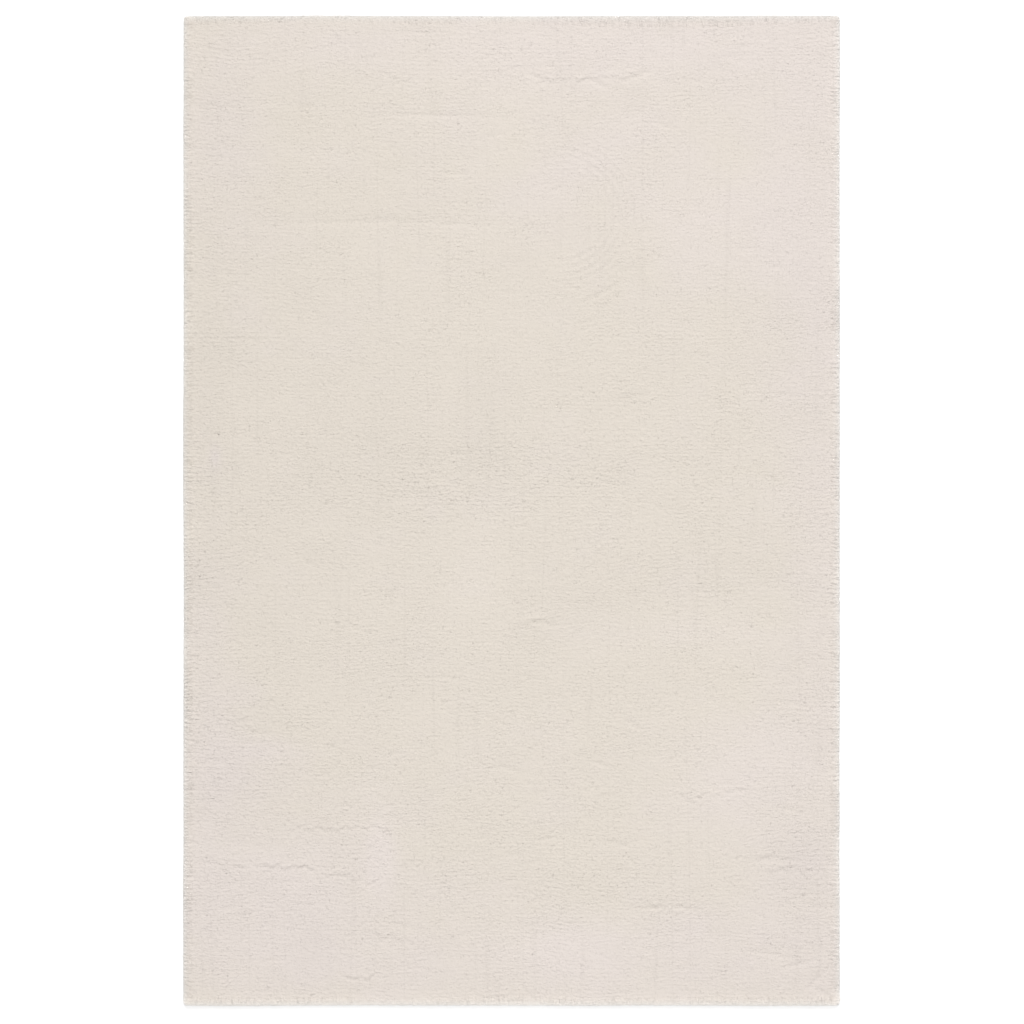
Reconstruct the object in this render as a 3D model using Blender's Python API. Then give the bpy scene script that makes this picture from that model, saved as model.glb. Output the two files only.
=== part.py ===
"""A shag rug, lying flat: one pile cloth, with the locks of its rim fallen outwards onto the floor.

Metres, +Z up. The origin is on the floor under the middle of the rug. X is the rug's width and Y
its length, and the nap leans towards -Y.
"""

import math

import bmesh
import bpy
from mathutils import Vector, noise

# The rug as it measures on the floor, from lock tip to lock tip.
WIDTH = 1.200
LENGTH = 1.810
PILE_TOP = 0.018  # mean height of the pile's crown

# The rim: a wall where the cloth ends, a round shoulder over it, and locks fallen outwards from it.
LOCK_REACH = 0.012  # from the wall to the lock's tip
WALL_TOP = 0.011  # height of the wall, where the locks leave the pile
SHOULDER = 0.020  # width of the rounded edge of the pile, inside the wall
SHOULDER_BEND = 0.35  # where the shoulder's middle line runs, as a share of its width
SHOULDER_RISE = 0.72  # how much of the climb is done at that line
CORNER_CUT = 0.010  # the corner of the cloth, cut off for one slanting lock

# Locks are three-sided: flat on the floor below, with a ridge above.
LOCKS_ACROSS = 56  # along each end
LOCKS_ALONG = 86  # along each side
LOCKS_AT_CORNER = 1
LOCK_WIDTH = 0.84  # at the root, as a share of the pitch
LOCK_UNEVEN = 0.0012  # how much shorter the shortest lock is
LOCK_SWAY = 0.06  # how far a tip strays sideways, as a share of the pitch
LOCK_SECTIONS = (  # along the lock: share of its reach, of its root width and of its root height
    {"out": 0.00, "wide": 1.00, "high": 1.00},
    {"out": 0.55, "wide": 0.92, "high": 0.66},
    {"out": 1.00, "wide": 0.60, "high": 0.16},
)

# The pile's lumps, on a grid of about 30 mm, and the flat underside, on a wide one.
CELLS_ACROSS = 38
CELLS_ALONG = 58
FLOOR_CELLS_ACROSS = 8
FLOOR_CELLS_ALONG = 12
FLOOR_MARGIN = 0.040  # from the wall to the wide grid of the underside
CLUMP_SIZE = 0.047  # spacing of the lumps where the pile gathers in clumps
CLUMP_HEIGHT = 0.0034
SWELL_SIZE = 0.260  # spacing of the broad, shallow swells
SWELL_HEIGHT = 0.0012

# The main creases and ruffled patches, by their middle on the rug. A trough has a height below 0.
CREASES = (
    {"x": -0.127, "y": 0.722, "long": 0.175, "wide": 0.030, "turn": -1, "height": -0.0016},
    {"x": -0.268, "y": 0.528, "long": 0.420, "wide": 0.030, "turn": 0, "height": -0.0018},
    {"x": 0.235, "y": 0.791, "long": 0.080, "wide": 0.045, "turn": 10, "height": 0.0020},
    {"x": 0.400, "y": 0.528, "long": 0.160, "wide": 0.110, "turn": 0, "height": 0.0015},
    {"x": -0.065, "y": 0.082, "long": 0.260, "wide": 0.080, "turn": -4, "height": -0.0012},
    {"x": 0.047, "y": -0.194, "long": 0.070, "wide": 0.045, "turn": 30, "height": 0.0020},
    {"x": -0.474, "y": -0.364, "long": 0.090, "wide": 0.050, "turn": 55, "height": 0.0020},
    {"x": -0.244, "y": -0.602, "long": 0.110, "wide": 0.090, "turn": 70, "height": 0.0022},
    {"x": -0.491, "y": -0.613, "long": 0.155, "wide": 0.030, "turn": -3, "height": -0.0016},
    {"x": 0.272, "y": -0.725, "long": 0.130, "wide": 0.032, "turn": 4, "height": -0.0016},
    {"x": -0.244, "y": -0.785, "long": 0.090, "wide": 0.030, "turn": -6, "height": -0.0014},
)

CREAM = (0.77, 0.71, 0.64, 1.0)
PILE_ROUGHNESS = 0.95

WALL_X = WIDTH / 2 - LOCK_REACH
WALL_Y = LENGTH / 2 - LOCK_REACH


def crease_height(crease, x, y):
    """What one crease adds to the pile at x, y: a soft ridge or trough that fades at its ends."""
    turn = math.radians(crease["turn"])
    across_x, across_y = x - crease["x"], y - crease["y"]
    along = across_x * math.cos(turn) + across_y * math.sin(turn)
    aside = across_y * math.cos(turn) - across_x * math.sin(turn)
    fade = (2 * along / crease["long"]) ** 2 + (2 * aside / crease["wide"]) ** 2
    return crease["height"] * math.exp(-fade)


def pile_height(x, y):
    """The height of the pile over the floor: its clumps, its swells and its creases."""
    clump = noise.noise(Vector((x, y, 0.4 * CLUMP_SIZE)) / CLUMP_SIZE) * CLUMP_HEIGHT
    swell = noise.noise(Vector((x, y, 0.7 * SWELL_SIZE)) / SWELL_SIZE) * SWELL_HEIGHT
    return PILE_TOP + clump + swell + sum(crease_height(row, x, y) for row in CREASES)


def wall_corners():
    """The eight corners of the cloth, counterclockwise, with how many locks the wall after each has."""
    corners = []
    for sign_x, sign_y in ((1, 1), (-1, 1), (-1, -1), (1, -1)):
        beside = Vector((sign_x * WALL_X, sign_y * (WALL_Y - CORNER_CUT), 0))
        at_end = Vector((sign_x * (WALL_X - CORNER_CUT), sign_y * WALL_Y, 0))
        if sign_x == sign_y:  # the walk goes from the long side round to the end
            corners += [(beside, LOCKS_AT_CORNER), (at_end, LOCKS_ACROSS)]
        else:
            corners += [(at_end, LOCKS_AT_CORNER), (beside, LOCKS_ALONG)]
    return corners


def lock_sections(root, along, out, pitch, reach, height, sway):
    """A lock's cross-sections from root to tip, each as its two points on the floor and its ridge."""
    sections = []
    for section in LOCK_SECTIONS:
        middle = root + out * reach * section["out"] + along * sway * section["out"]
        half = along * pitch * LOCK_WIDTH / 2 * section["wide"]
        ridge = middle + Vector((0, 0, height * section["high"]))
        sections.append((middle - half, middle + half, ridge))
    return sections


def add_lock(bm, sections):
    """Adds a lock's sides and its blunt tip, and returns the three vertices of its root."""
    rings = [[bm.verts.new(point) for point in section] for section in sections]
    for near, far in zip(rings, rings[1:]):
        for side in range(3):
            after = (side + 1) % 3
            bm.faces.new((near[side], near[after], far[after], far[side]))
    bm.faces.new(rings[-1])
    return rings[0]


def add_walls(bm):
    """Adds the wall and its locks, and returns the loops along its foot and along its top."""
    foot, top, corners = [], [], wall_corners()
    stations = []  # the wall's bare stretches lie between one station's end and the next one's start
    number = 0
    for (start, locks), (end, _) in zip(corners, corners[1:] + corners[:1]):
        run = end - start
        along = run.normalized()
        out = Vector((along.y, -along.x, 0))
        pitch = run.length / locks
        low = bm.verts.new(start)
        high = bm.verts.new(start + Vector((0, 0, WALL_TOP)))
        stations.append((low, low, high))
        for place in range(locks):
            number += 1
            uneven = 0.5 + 0.5 * math.sin(2.4 * number)
            root = start + along * pitch * (place + 0.5)
            reach = LOCK_REACH - LOCK_UNEVEN * uneven
            height = WALL_TOP * (1 + 0.10 * math.sin(1.7 * number))
            sway = pitch * LOCK_SWAY * math.sin(3.9 * number)
            sections = lock_sections(root, along, out, pitch, reach, height, sway)
            stations.append(add_lock(bm, sections))
    for (_, low, high), (next_low, _, next_high) in zip(stations, stations[1:] + stations[:1]):
        bm.faces.new((low, next_low, next_high, high))
    for first, last, high in stations:
        foot += [first] if first is last else [first, last]
        top.append(high)
    return foot, top


def add_grid(bm, half_x, half_y, cells_x, cells_y, height_at):
    """Adds a grid of quads, and returns its outer loop, counterclockwise from its +X +Y corner."""
    rows = []
    for row in range(cells_y + 1):
        y = half_y * (2 * row / cells_y - 1)
        places = [half_x * (2 * column / cells_x - 1) for column in range(cells_x + 1)]
        rows.append([bm.verts.new((x, y, height_at(x, y))) for x in places])
    for below, above in zip(rows, rows[1:]):
        for left in range(cells_x):
            bm.faces.new((below[left], below[left + 1], above[left + 1], above[left]))
    head = rows[-1][::-1]
    west = [row[0] for row in rows[-2:0:-1]]
    foot = rows[0]
    east = [row[-1] for row in rows[1:-1]]
    return head + west + foot + east


def add_shoulder_line(bm, crown, half_x, half_y):
    """Adds the shoulder's middle line, a step out from the crown's loop and lower than it."""
    step = SHOULDER * (1 - SHOULDER_BEND)
    drop = (PILE_TOP - WALL_TOP) * (1 - SHOULDER_RISE)
    line = []
    for vert in crown:
        x, y, z = vert.co
        out_x = x * (half_x + step) / half_x
        out_y = y * (half_y + step) / half_y
        line.append(bm.verts.new((out_x, out_y, z - drop)))
    for now in range(len(crown)):
        after = (now + 1) % len(crown)
        bm.faces.new((crown[now], crown[after], line[after], line[now]))
    return line


def zip_loops(bm, outer, inner):
    """Fills the strip between two loops that start at the same corner, across its short diagonals."""
    at_outer = at_inner = 0
    while at_outer < len(outer) or at_inner < len(inner):
        outer_now, outer_next = (outer[(at_outer + step) % len(outer)] for step in (0, 1))
        inner_now, inner_next = (inner[(at_inner + step) % len(inner)] for step in (0, 1))
        outer_edge = (outer_next.co - inner_now.co).length
        inner_edge = (inner_next.co - outer_now.co).length
        inner_done = at_inner == len(inner)
        if inner_done or (at_outer < len(outer) and outer_edge <= inner_edge):
            bm.faces.new((outer_now, outer_next, inner_now))
            at_outer += 1
        else:
            bm.faces.new((outer_now, inner_next, inner_now))
            at_inner += 1


def pile_material():
    material = bpy.data.materials.new("cream_pile")
    material.use_nodes = True
    shader = material.node_tree.nodes["Principled BSDF"]
    shader.inputs["Base Color"].default_value = CREAM
    shader.inputs["Roughness"].default_value = PILE_ROUGHNESS
    shader.inputs["Metallic"].default_value = 0.0
    return material


def add_rug():
    """The whole rug as one closed solid: underside, wall, locks, shoulder and lumpy crown."""
    bm = bmesh.new()
    foot, wall_top = add_walls(bm)
    crown_x, crown_y = WALL_X - SHOULDER, WALL_Y - SHOULDER
    crown = add_grid(bm, crown_x, crown_y, CELLS_ACROSS, CELLS_ALONG, pile_height)
    shoulder = add_shoulder_line(bm, crown, crown_x, crown_y)
    zip_loops(bm, wall_top, shoulder)
    floor_x, floor_y = WALL_X - FLOOR_MARGIN, WALL_Y - FLOOR_MARGIN
    cells = (FLOOR_CELLS_ACROSS, FLOOR_CELLS_ALONG)
    underside = add_grid(bm, floor_x, floor_y, *cells, lambda x, y: 0.0)
    zip_loops(bm, foot, underside)
    bmesh.ops.recalc_face_normals(bm, faces=bm.faces)
    mesh = bpy.data.meshes.new("shag_rug")
    bm.to_mesh(mesh)
    bm.free()
    mesh.materials.append(pile_material())
    mesh.shade_smooth()
    mesh.set_sharp_from_angle(angle=math.radians(40))
    rug = bpy.data.objects.new("shag_rug", mesh)
    bpy.context.collection.objects.link(rug)
    return rug


for leftover in list(bpy.data.objects):
    bpy.data.objects.remove(leftover)
add_rug()
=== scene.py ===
# %% [markdown]
# # A cream shag rug, seen from straight above
#
# The real rug is one cloth: a woven ground with a dense soft pile tufted into it. From above the pile
# is almost one colour, and what makes it read as pile is a fine ripple, about seven millimetres from
# row to row, where the tips of one row of tufts lie over the roots of the next. This lesson builds it
# in layers, from the floor up: the ground cloth, a rippled skin of pile over it, many thousand fine
# locks lying on that skin, and longer locks that fall outwards over the rim.
#
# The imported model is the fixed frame. It gives the rug's size and place, and the new pieces stand for
# its one solid.

import math

import bpy
import numpy as np
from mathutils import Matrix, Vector, noise


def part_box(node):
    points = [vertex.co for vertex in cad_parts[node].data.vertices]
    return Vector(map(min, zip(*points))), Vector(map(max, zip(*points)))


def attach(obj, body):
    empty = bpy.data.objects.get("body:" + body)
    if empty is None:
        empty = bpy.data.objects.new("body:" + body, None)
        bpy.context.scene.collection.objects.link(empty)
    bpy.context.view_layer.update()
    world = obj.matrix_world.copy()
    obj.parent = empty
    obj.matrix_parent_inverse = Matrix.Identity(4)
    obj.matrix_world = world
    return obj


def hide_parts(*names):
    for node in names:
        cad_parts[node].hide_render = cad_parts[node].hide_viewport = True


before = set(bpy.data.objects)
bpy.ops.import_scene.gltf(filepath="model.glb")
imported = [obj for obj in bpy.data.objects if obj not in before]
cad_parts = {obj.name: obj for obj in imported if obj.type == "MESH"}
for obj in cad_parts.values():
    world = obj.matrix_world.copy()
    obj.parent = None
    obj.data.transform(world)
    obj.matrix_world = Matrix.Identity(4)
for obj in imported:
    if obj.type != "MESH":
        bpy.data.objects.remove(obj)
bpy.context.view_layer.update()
RUG_LOW, RUG_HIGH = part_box("shag_rug")
WIDTH = RUG_HIGH.x - RUG_LOW.x
LENGTH = RUG_HIGH.y - RUG_LOW.y
print(f"the rug is {WIDTH:.3f} m wide and {LENGTH:.3f} m long, up to {RUG_HIGH.z * 1000:.1f} mm high")

# %% [markdown]
# ## The camera
#
# The photograph looks straight down, so far away that no side of the rug shows. A long lens at twelve
# metres does the same. The lens follows from one measure: how many pixels of the picture the rug's
# length takes.

# %% Put the camera over the rug
PICTURE_PIXELS = 1024
RUG_LENGTH_PIXELS = 989.6
RUG_MIDDLE_PIXEL_X = 511.55
RUG_MIDDLE_PIXEL_Y = 510.75
PILE_TOP = 0.0172  # the skin's crown; the locks on it come up to the 18 mm of the frame's pile
OUTLINE_HEIGHT = 0.002  # the locks that make the rug's outline lie on the floor
CAMERA_HEIGHT = 12.0
SENSOR = 36.0

metres_per_pixel = LENGTH / RUG_LENGTH_PIXELS
camera = bpy.data.objects.new("camera", bpy.data.cameras.new("camera"))
bpy.context.collection.objects.link(camera)
camera.data.sensor_width = SENSOR
camera.data.lens = SENSOR * (CAMERA_HEIGHT - OUTLINE_HEIGHT) / (PICTURE_PIXELS * metres_per_pixel)
camera.data.clip_end = 5 * CAMERA_HEIGHT
aside = (PICTURE_PIXELS / 2 - RUG_MIDDLE_PIXEL_X) * metres_per_pixel
below = (RUG_MIDDLE_PIXEL_Y - PICTURE_PIXELS / 2) * metres_per_pixel
camera.location = (aside, below, CAMERA_HEIGHT)
bpy.context.scene.camera = camera
print(f"the lens is {camera.data.lens:.0f} mm, and a pixel is {metres_per_pixel * 1000:.2f} mm")

# %% [markdown]
# ## Floor and light
#
# A soft pile shows its form only by small differences in tone, so the light is an even white dome with
# two large soft lamps. The key stands beyond the rug's far end. It lights the far flank of every ripple
# and leaves the near one a little darker, which is how the photograph is lit. The lamp overhead keeps
# the rolled rims as bright as the middle.
#
# The photograph's ground is pure white. So the floor gets a little more light than it takes to look
# white, which also lifts the faint shadow of the rug, and past its edge the camera sees white as well.

# %% Four helpers for every step that follows
def let_go():
    """Leaves edit mode and deselects everything, so the next operator acts on its own piece alone."""
    if bpy.context.object and bpy.context.object.mode != "OBJECT":
        bpy.ops.object.mode_set(mode="OBJECT")
    bpy.ops.object.select_all(action="DESELECT")


def feed(tree, node, inputs):
    """Gives a node its inputs, by name or number: a plain value is set, an output is linked."""
    for name, value in inputs.items():
        if isinstance(value, (int, float, tuple)):
            node.inputs[name].default_value = value
        else:
            tree.links.new(value, node.inputs[name])


def add_node(tree, kind, inputs, **settings):
    """Adds a node with its settings and its inputs."""
    node = tree.nodes.new("ShaderNode" + kind)
    for name, value in settings.items():
        setattr(node, name, value)
    feed(tree, node, inputs)
    return node


def new_material(name, inputs):
    """A new material with these plain values on its shader, and its node tree."""
    material = bpy.data.materials.new(name)
    material.use_nodes = True
    feed(material.node_tree, material.node_tree.nodes["Principled BSDF"], inputs)
    return material, material.node_tree


# %% The floor
FLOOR_SIZE = 6.4
FLOOR_DEPTH = 0.0003  # under the rug, so that floor and cloth don't share a face
FLOOR_WHITE = (0.97, 0.97, 0.97, 1)

let_go()
bpy.ops.mesh.primitive_plane_add(size=FLOOR_SIZE, location=(0, 0, -FLOOR_DEPTH))
floor = bpy.context.object
floor.name = "floor"
floor_paint, _ = new_material("floor_paint", {
    "Base Color": FLOOR_WHITE, "Roughness": 0.8, "Specular IOR Level": 0.0,
})
floor.data.materials.append(floor_paint)
print(f"the floor is {FLOOR_SIZE} m square")

# %% The dome, and two soft lamps
WHITE = (1, 1, 1, 1)
DOME_STRENGTH = 0.578
SOFT_LAMPS = (
    {"name": "key", "place": (1.0, 10.8, 8.4), "size": 6.0, "watts": 850},
    {"name": "overhead", "place": (0.0, 0.0, 14.0), "size": 8.0, "watts": 861},
)

dome = bpy.data.worlds.new("dome")
dome.use_nodes = True
sky = dome.node_tree
feed(sky, sky.nodes["Background"], {"Color": WHITE, "Strength": DOME_STRENGTH})
backdrop = add_node(sky, "Background", {"Color": WHITE})
seen_directly = add_node(sky, "LightPath", {}).outputs["Is Camera Ray"]
either = add_node(sky, "MixShader", {
    0: seen_directly, 1: sky.nodes["Background"].outputs[0], 2: backdrop.outputs[0],
})
feed(sky, sky.nodes["World Output"], {"Surface": either.outputs[0]})
bpy.context.scene.world = dome
bpy.context.scene.view_settings.view_transform = "Standard"

for row in SOFT_LAMPS:
    lamp = bpy.data.lights.new(row["name"], "AREA")
    lamp.size = row["size"]
    lamp.energy = row["watts"]
    holder = bpy.data.objects.new(row["name"], lamp)
    bpy.context.collection.objects.link(holder)
    holder.location = row["place"]
    holder.rotation_euler = (-Vector(row["place"])).to_track_quat("-Z", "Y").to_euler()
print(f"the dome has strength {DOME_STRENGTH}, with {len(SOFT_LAMPS)} soft lamps")

# %% [markdown]
# ## Even and uneven
#
# Nothing in a pile is quite regular. Every irregular thing below comes from one helper: random numbers
# on a lattice, joined by a smooth step. It takes whole arrays of points at once, which is what makes
# half a million points affordable, and each seed always gives the same unevenness.

# %% Unevenness, in one layer and in several
LATTICE_MARGIN = 0.2  # beyond the rug on every side


def sample(lattice, across, along, rounded=False):
    """Reads a lattice between its points; across and along are counted in its cells."""
    column = np.clip(np.floor(across).astype(int), 0, lattice.shape[1] - 2)
    line = np.clip(np.floor(along).astype(int), 0, lattice.shape[0] - 2)
    part_x = np.clip(across - column, 0, 1)
    part_y = np.clip(along - line, 0, 1)
    if rounded:
        part_x = part_x * part_x * (3 - 2 * part_x)
        part_y = part_y * part_y * (3 - 2 * part_y)
    near = lattice[line, column] * (1 - part_x) + lattice[line, column + 1] * part_x
    far = lattice[line + 1, column] * (1 - part_x) + lattice[line + 1, column + 1] * part_x
    return near * (1 - part_y) + far * part_y


def unevenness(x, y, size_x, size_y, seed):
    """Smooth random values, about -2 to 2, whose bumps are size_x by size_y large."""
    columns = int((WIDTH + 2 * LATTICE_MARGIN) / size_x) + 3
    lines = int((LENGTH + 2 * LATTICE_MARGIN) / size_y) + 3  # with a cell to spare at both ends
    lattice = np.random.default_rng(seed).standard_normal((lines, columns))
    across = (x + WIDTH / 2 + LATTICE_MARGIN) / size_x
    along = (y + LENGTH / 2 + LATTICE_MARGIN) / size_y
    return sample(lattice, across, along, rounded=True)


def layered(x, y, layers):
    """Layers of unevenness in one. Each is given by its strength, its size in x and in y, and its seed."""
    return sum(strength * unevenness(x, y, *size_and_seed) for strength, *size_and_seed in layers)


# %% [markdown]
# ## Walking over the rug
#
# The pile is level in the middle and rolls down to the floor round the whole rim. It is easiest to lay
# things on it by how far one has walked over it: u across the rug and v along it, both from the middle
# and both measured on the surface, so that a lock keeps its length where the pile turns down.
#
# The section of the rim is a quarter of a superellipse, flatter than a circle. It starts in level from
# the pile and comes down steepest at the floor, like the locks of the frame's rim that fell outwards.

# %% The rounded section
RIM_DROP = 0.0240  # how far in from the outline the pile starts to turn down
RIM_FULLNESS = 1.7  # 2 would be an ellipse, and less is flatter
CORNER_SQUARENESS = 7  # 2 would round a corner off with a circle
SECTION_STEPS = 80


def rim_section(half):
    """For one direction: distance walked, place on the floor below, and share of the pile's height."""
    turn = np.linspace(0, math.pi / 2, SECTION_STEPS)
    place = half - RIM_DROP * (1 - np.abs(np.cos(turn)) ** (2 / RIM_FULLNESS))
    share = np.abs(np.sin(turn)) ** (2 / RIM_FULLNESS)
    place = np.concatenate([-place, place[::-1]])
    share = np.concatenate([share, share[::-1]])
    steps = np.hypot(np.diff(place), np.diff(share * PILE_TOP))
    walked = np.concatenate([[0], np.cumsum(steps)])
    return walked - walked[-1] / 2, place, share


ACROSS = rim_section(WIDTH / 2)
ALONG = rim_section(LENGTH / 2)
U_END = ACROSS[0][-1]
V_END = ALONG[0][-1]
print(f"over the pile it is {2 * U_END:.3f} m from side to side and {2 * V_END:.3f} m from end to end")

# %% Points and directions on the smooth pile
RIM_SOFTNESS = 0.85
TINY = 1e-9  # keeps a division or a direction from failing where nothing is left


def seen_from_above(u, v):
    """Where u and v lie on the floor, before the corners are rounded."""
    return np.interp(u, ACROSS[0], ACROSS[1]), np.interp(v, ALONG[0], ALONG[1])


def on_rug(u, v):
    """The points of the smooth pile, before its relief, at distances u and v walked over it."""
    x, y = seen_from_above(u, v)
    out_x = np.clip((np.abs(x) - WIDTH / 2) / RIM_DROP + 1, 0, 1)
    out_y = np.clip((np.abs(y) - LENGTH / 2) / RIM_DROP + 1, 0, 1)
    rounded = (out_x ** CORNER_SQUARENESS + out_y ** CORNER_SQUARENESS) ** (1 / CORNER_SQUARENESS)
    pull = RIM_DROP * (1 - np.maximum(out_x, out_y) / np.maximum(rounded, TINY))
    share = np.minimum(np.interp(u, ACROSS[0], ACROSS[2]), np.interp(v, ALONG[0], ALONG[2]))
    return np.stack([x - np.sign(x) * out_x * pull, y - np.sign(y) * out_y * pull, PILE_TOP * share], -1)


def rug_normal(u, v, step=0.0004):
    """The direction straight out of the smooth pile, from a short step to either side."""
    run_u = on_rug(u + step, v) - on_rug(u - step, v)
    run_v = on_rug(u, v + step) - on_rug(u, v - step)
    run_u[..., 0] += TINY
    run_v[..., 1] += TINY
    normal = np.cross(run_u, run_v)
    return normal / np.linalg.norm(normal, axis=-1, keepdims=True)


def soft_normal(normal):
    """A fluffy rim passes light through, so it is shaded as if it turned down only part of the way."""
    return normal * (1 - RIM_SOFTNESS) + np.array([0, 0, RIM_SOFTNESS])


# %% [markdown]
# ## Clumps, swells and creases
#
# A shag never lies quite level. The frame's solid already has its clumps, its broad swells and its
# main creases, and the same values are used here, with the finer marks of the photograph added: short
# wrinkles and whole chains of them, lines where the comb has parted the pile, and one swirl. All of it
# goes into one relief map with a cell of two millimetres, worked out once and then read wherever a
# height is needed.
#
# The marks are tables, a row for each. A helper gives every value in a row its name.

# %% What the frame's pile has
CLUMP_SIZE = 0.047
CLUMP_HEIGHT = 0.0034
CLUMP_SLICE = 0.4  # where the noise is cut, as a share of its size, as in the frame
SWELL_SIZE = 0.260
SWELL_HEIGHT = 0.0012
SWELL_SLICE = 0.7
CLUMP_SHARE = 0.12  # the fine pile levels its clumps out
CREASE_SHARE = 0.35  # and its creases


def table(names, rows):
    """Names the values in each row."""
    return [dict(zip(names.split(), row)) for row in rows]


# A trough has a height below 0.
CREASES = table("x y long wide turn height", (
    (-0.127, 0.722, 0.175, 0.030, -1, -0.0016),
    (-0.268, 0.528, 0.420, 0.030, 0, -0.0018),
    (0.235, 0.791, 0.080, 0.045, 10, 0.0020),
    (0.400, 0.528, 0.160, 0.110, 0, 0.0015),
    (-0.065, 0.082, 0.260, 0.080, -4, -0.0012),
    (0.047, -0.194, 0.070, 0.045, 30, 0.0020),
    (-0.474, -0.364, 0.090, 0.050, 55, 0.0020),
    (-0.244, -0.602, 0.110, 0.090, 70, 0.0022),
    (-0.491, -0.613, 0.155, 0.030, -3, -0.0016),
    (0.272, -0.725, 0.130, 0.032, 4, -0.0016),
    (-0.244, -0.785, 0.090, 0.030, -6, -0.0014),
))
print(f"the frame's pile has {len(CREASES)} creases")

# %% The finer marks of the photograph
WRINKLES = table("x y long wide turn height", (
    (-0.127, 0.722, 0.150, 0.008, -1, -0.0007),
    (-0.300, 0.527, 0.200, 0.007, 1, -0.0004),
    (-0.140, 0.524, 0.160, 0.007, -2, -0.0004),
    (0.040, 0.793, 0.035, 0.009, -20, -0.0009),
    (0.125, 0.790, 0.040, 0.010, 35, 0.0010),
    (0.160, 0.780, 0.050, 0.010, -25, -0.0010),
    (0.236, 0.797, 0.030, 0.014, 20, -0.0012),
    (0.165, 0.398, 0.075, 0.008, 28, -0.0008),
    (0.105, 0.410, 0.050, 0.007, -18, -0.0006),
    (0.035, -0.198, 0.050, 0.009, 12, 0.0009),
    (0.056, -0.205, 0.055, 0.008, -10, -0.0008),
    (-0.470, -0.360, 0.045, 0.009, 50, -0.0010),
    (-0.490, -0.375, 0.030, 0.008, 20, 0.0008),
    (-0.242, -0.610, 0.080, 0.012, 80, 0.0010),
    (0.272, -0.725, 0.090, 0.008, 4, -0.0009),
    (0.300, -0.731, 0.040, 0.010, -6, 0.0008),
    (0.495, -0.638, 0.100, 0.008, -2, -0.0007),
    (0.520, -0.655, 0.070, 0.007, -4, -0.0007),
    (0.470, -0.810, 0.060, 0.007, -9, -0.0008),
    (0.528, -0.828, 0.050, 0.008, 15, -0.0011),
    (0.556, -0.858, 0.045, 0.009, 48, -0.0012),
    (0.566, -0.880, 0.030, 0.009, -35, -0.0012),
    (0.020, -0.870, 0.060, 0.008, -50, -0.0007),
))
# Chains of small wrinkles, each leaning the other way than the last.
CRINKLES = table("x y long turn height", (
    (-0.324, -0.584, 0.166, 1, 0.0008),
    (-0.434, -0.652, 0.142, -2, 0.0009),
    (-0.299, -0.672, 0.100, -10, 0.0008),
    (-0.218, -0.783, 0.060, -16, 0.0010),
    (-0.273, -0.855, 0.056, 8, 0.0010),
    (0.130, 0.786, 0.190, 3, 0.0008),
    (0.300, -0.728, 0.090, 3, 0.0009),
    (0.510, -0.662, 0.080, -2, 0.0009),
    (0.375, -0.516, 0.140, 4, 0.0005),
))
# Faint partings along the rug.
COMB_LINES = table("x start end depth", (
    (-0.451, -0.23, 0.57, 0.00026),
    (-0.109, -0.49, -0.04, 0.00028),
    (-0.006, -0.87, 0.37, 0.00022),
    (0.352, -0.81, 0.61, 0.00032),
    (0.455, -0.10, 0.62, 0.00020),
    (0.524, -0.10, 0.43, 0.00028),
))
COMB_WIDTH = 0.003
COMB_FADE = 0.02  # over how much a parting begins and ends
SWIRL = {  # rings around a middle, of which the right half shows
    "x": 0.090, "y": 0.545, "radius": 0.105, "spread": 0.035,
    "spacing": 0.0135, "height": 0.00030, "fade": 0.03,
}
print(f"by hand: {len(WRINKLES)} wrinkles, {len(CRINKLES)} chains and {len(COMB_LINES)} partings")

# %% Chains of wrinkles
CRINKLE_STEP = 0.013  # from one wrinkle of a chain to the next
CRINKLE_PAIR = ((0, -1.0), (0.0058, 0.8))  # a trough on the line, and a lower ridge beside it
CRINKLE_STRAY = 0.0025
CRINKLE_LEAN = 24
CRINKLE_LEAN_STRAY = 10
CRINKLE_LONG = (0.013, 0.022)
CRINKLE_WIDE = (0.0055, 0.0075)
CRINKLE_SHARE = (0.4, 1.2)  # of its chain's height
CRINKLE_SEED = 78


def crinkled(chain, chance):
    """The small troughs of one chain of wrinkles, with a ridge beside each."""
    turn = math.radians(chain["turn"])
    marks = []
    for number in range(round(chain["long"] / CRINKLE_STEP)):
        along = (number + 0.5) * CRINKLE_STEP - chain["long"] / 2
        aside = chance.normal(0, CRINKLE_STRAY)
        side = CRINKLE_LEAN if number % 2 else -CRINKLE_LEAN
        lean = chain["turn"] + side + chance.normal(0, CRINKLE_LEAN_STRAY)
        for step, share in CRINKLE_PAIR:
            marks.append({
                "x": chain["x"] + along * math.cos(turn) - (aside + step) * math.sin(turn),
                "y": chain["y"] + along * math.sin(turn) + (aside + step) * math.cos(turn),
                "long": chance.uniform(*CRINKLE_LONG), "wide": chance.uniform(*CRINKLE_WIDE),
                "turn": lean, "height": chain["height"] * share * chance.uniform(*CRINKLE_SHARE),
            })
    return marks


# %% Short wrinkles
SHORT_WRINKLES = 260
SHORT_LONG = (0.018, 0.050)
SHORT_WIDE = (0.006, 0.010)
SHORT_DEEP = (0.0002, 0.0007)
SHORT_LEAN = 14
SHORT_SPREAD = (0.48, 0.49)  # how far out from the middle they lie, in shares of width and length
SPARSE = (-0.45, 0.80)  # nearer or farther than this, in half lengths, all of them show
SPARSE_SHARE = 0.35  # and between, this share
SHORT_WRINKLE_SEED = 77


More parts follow.
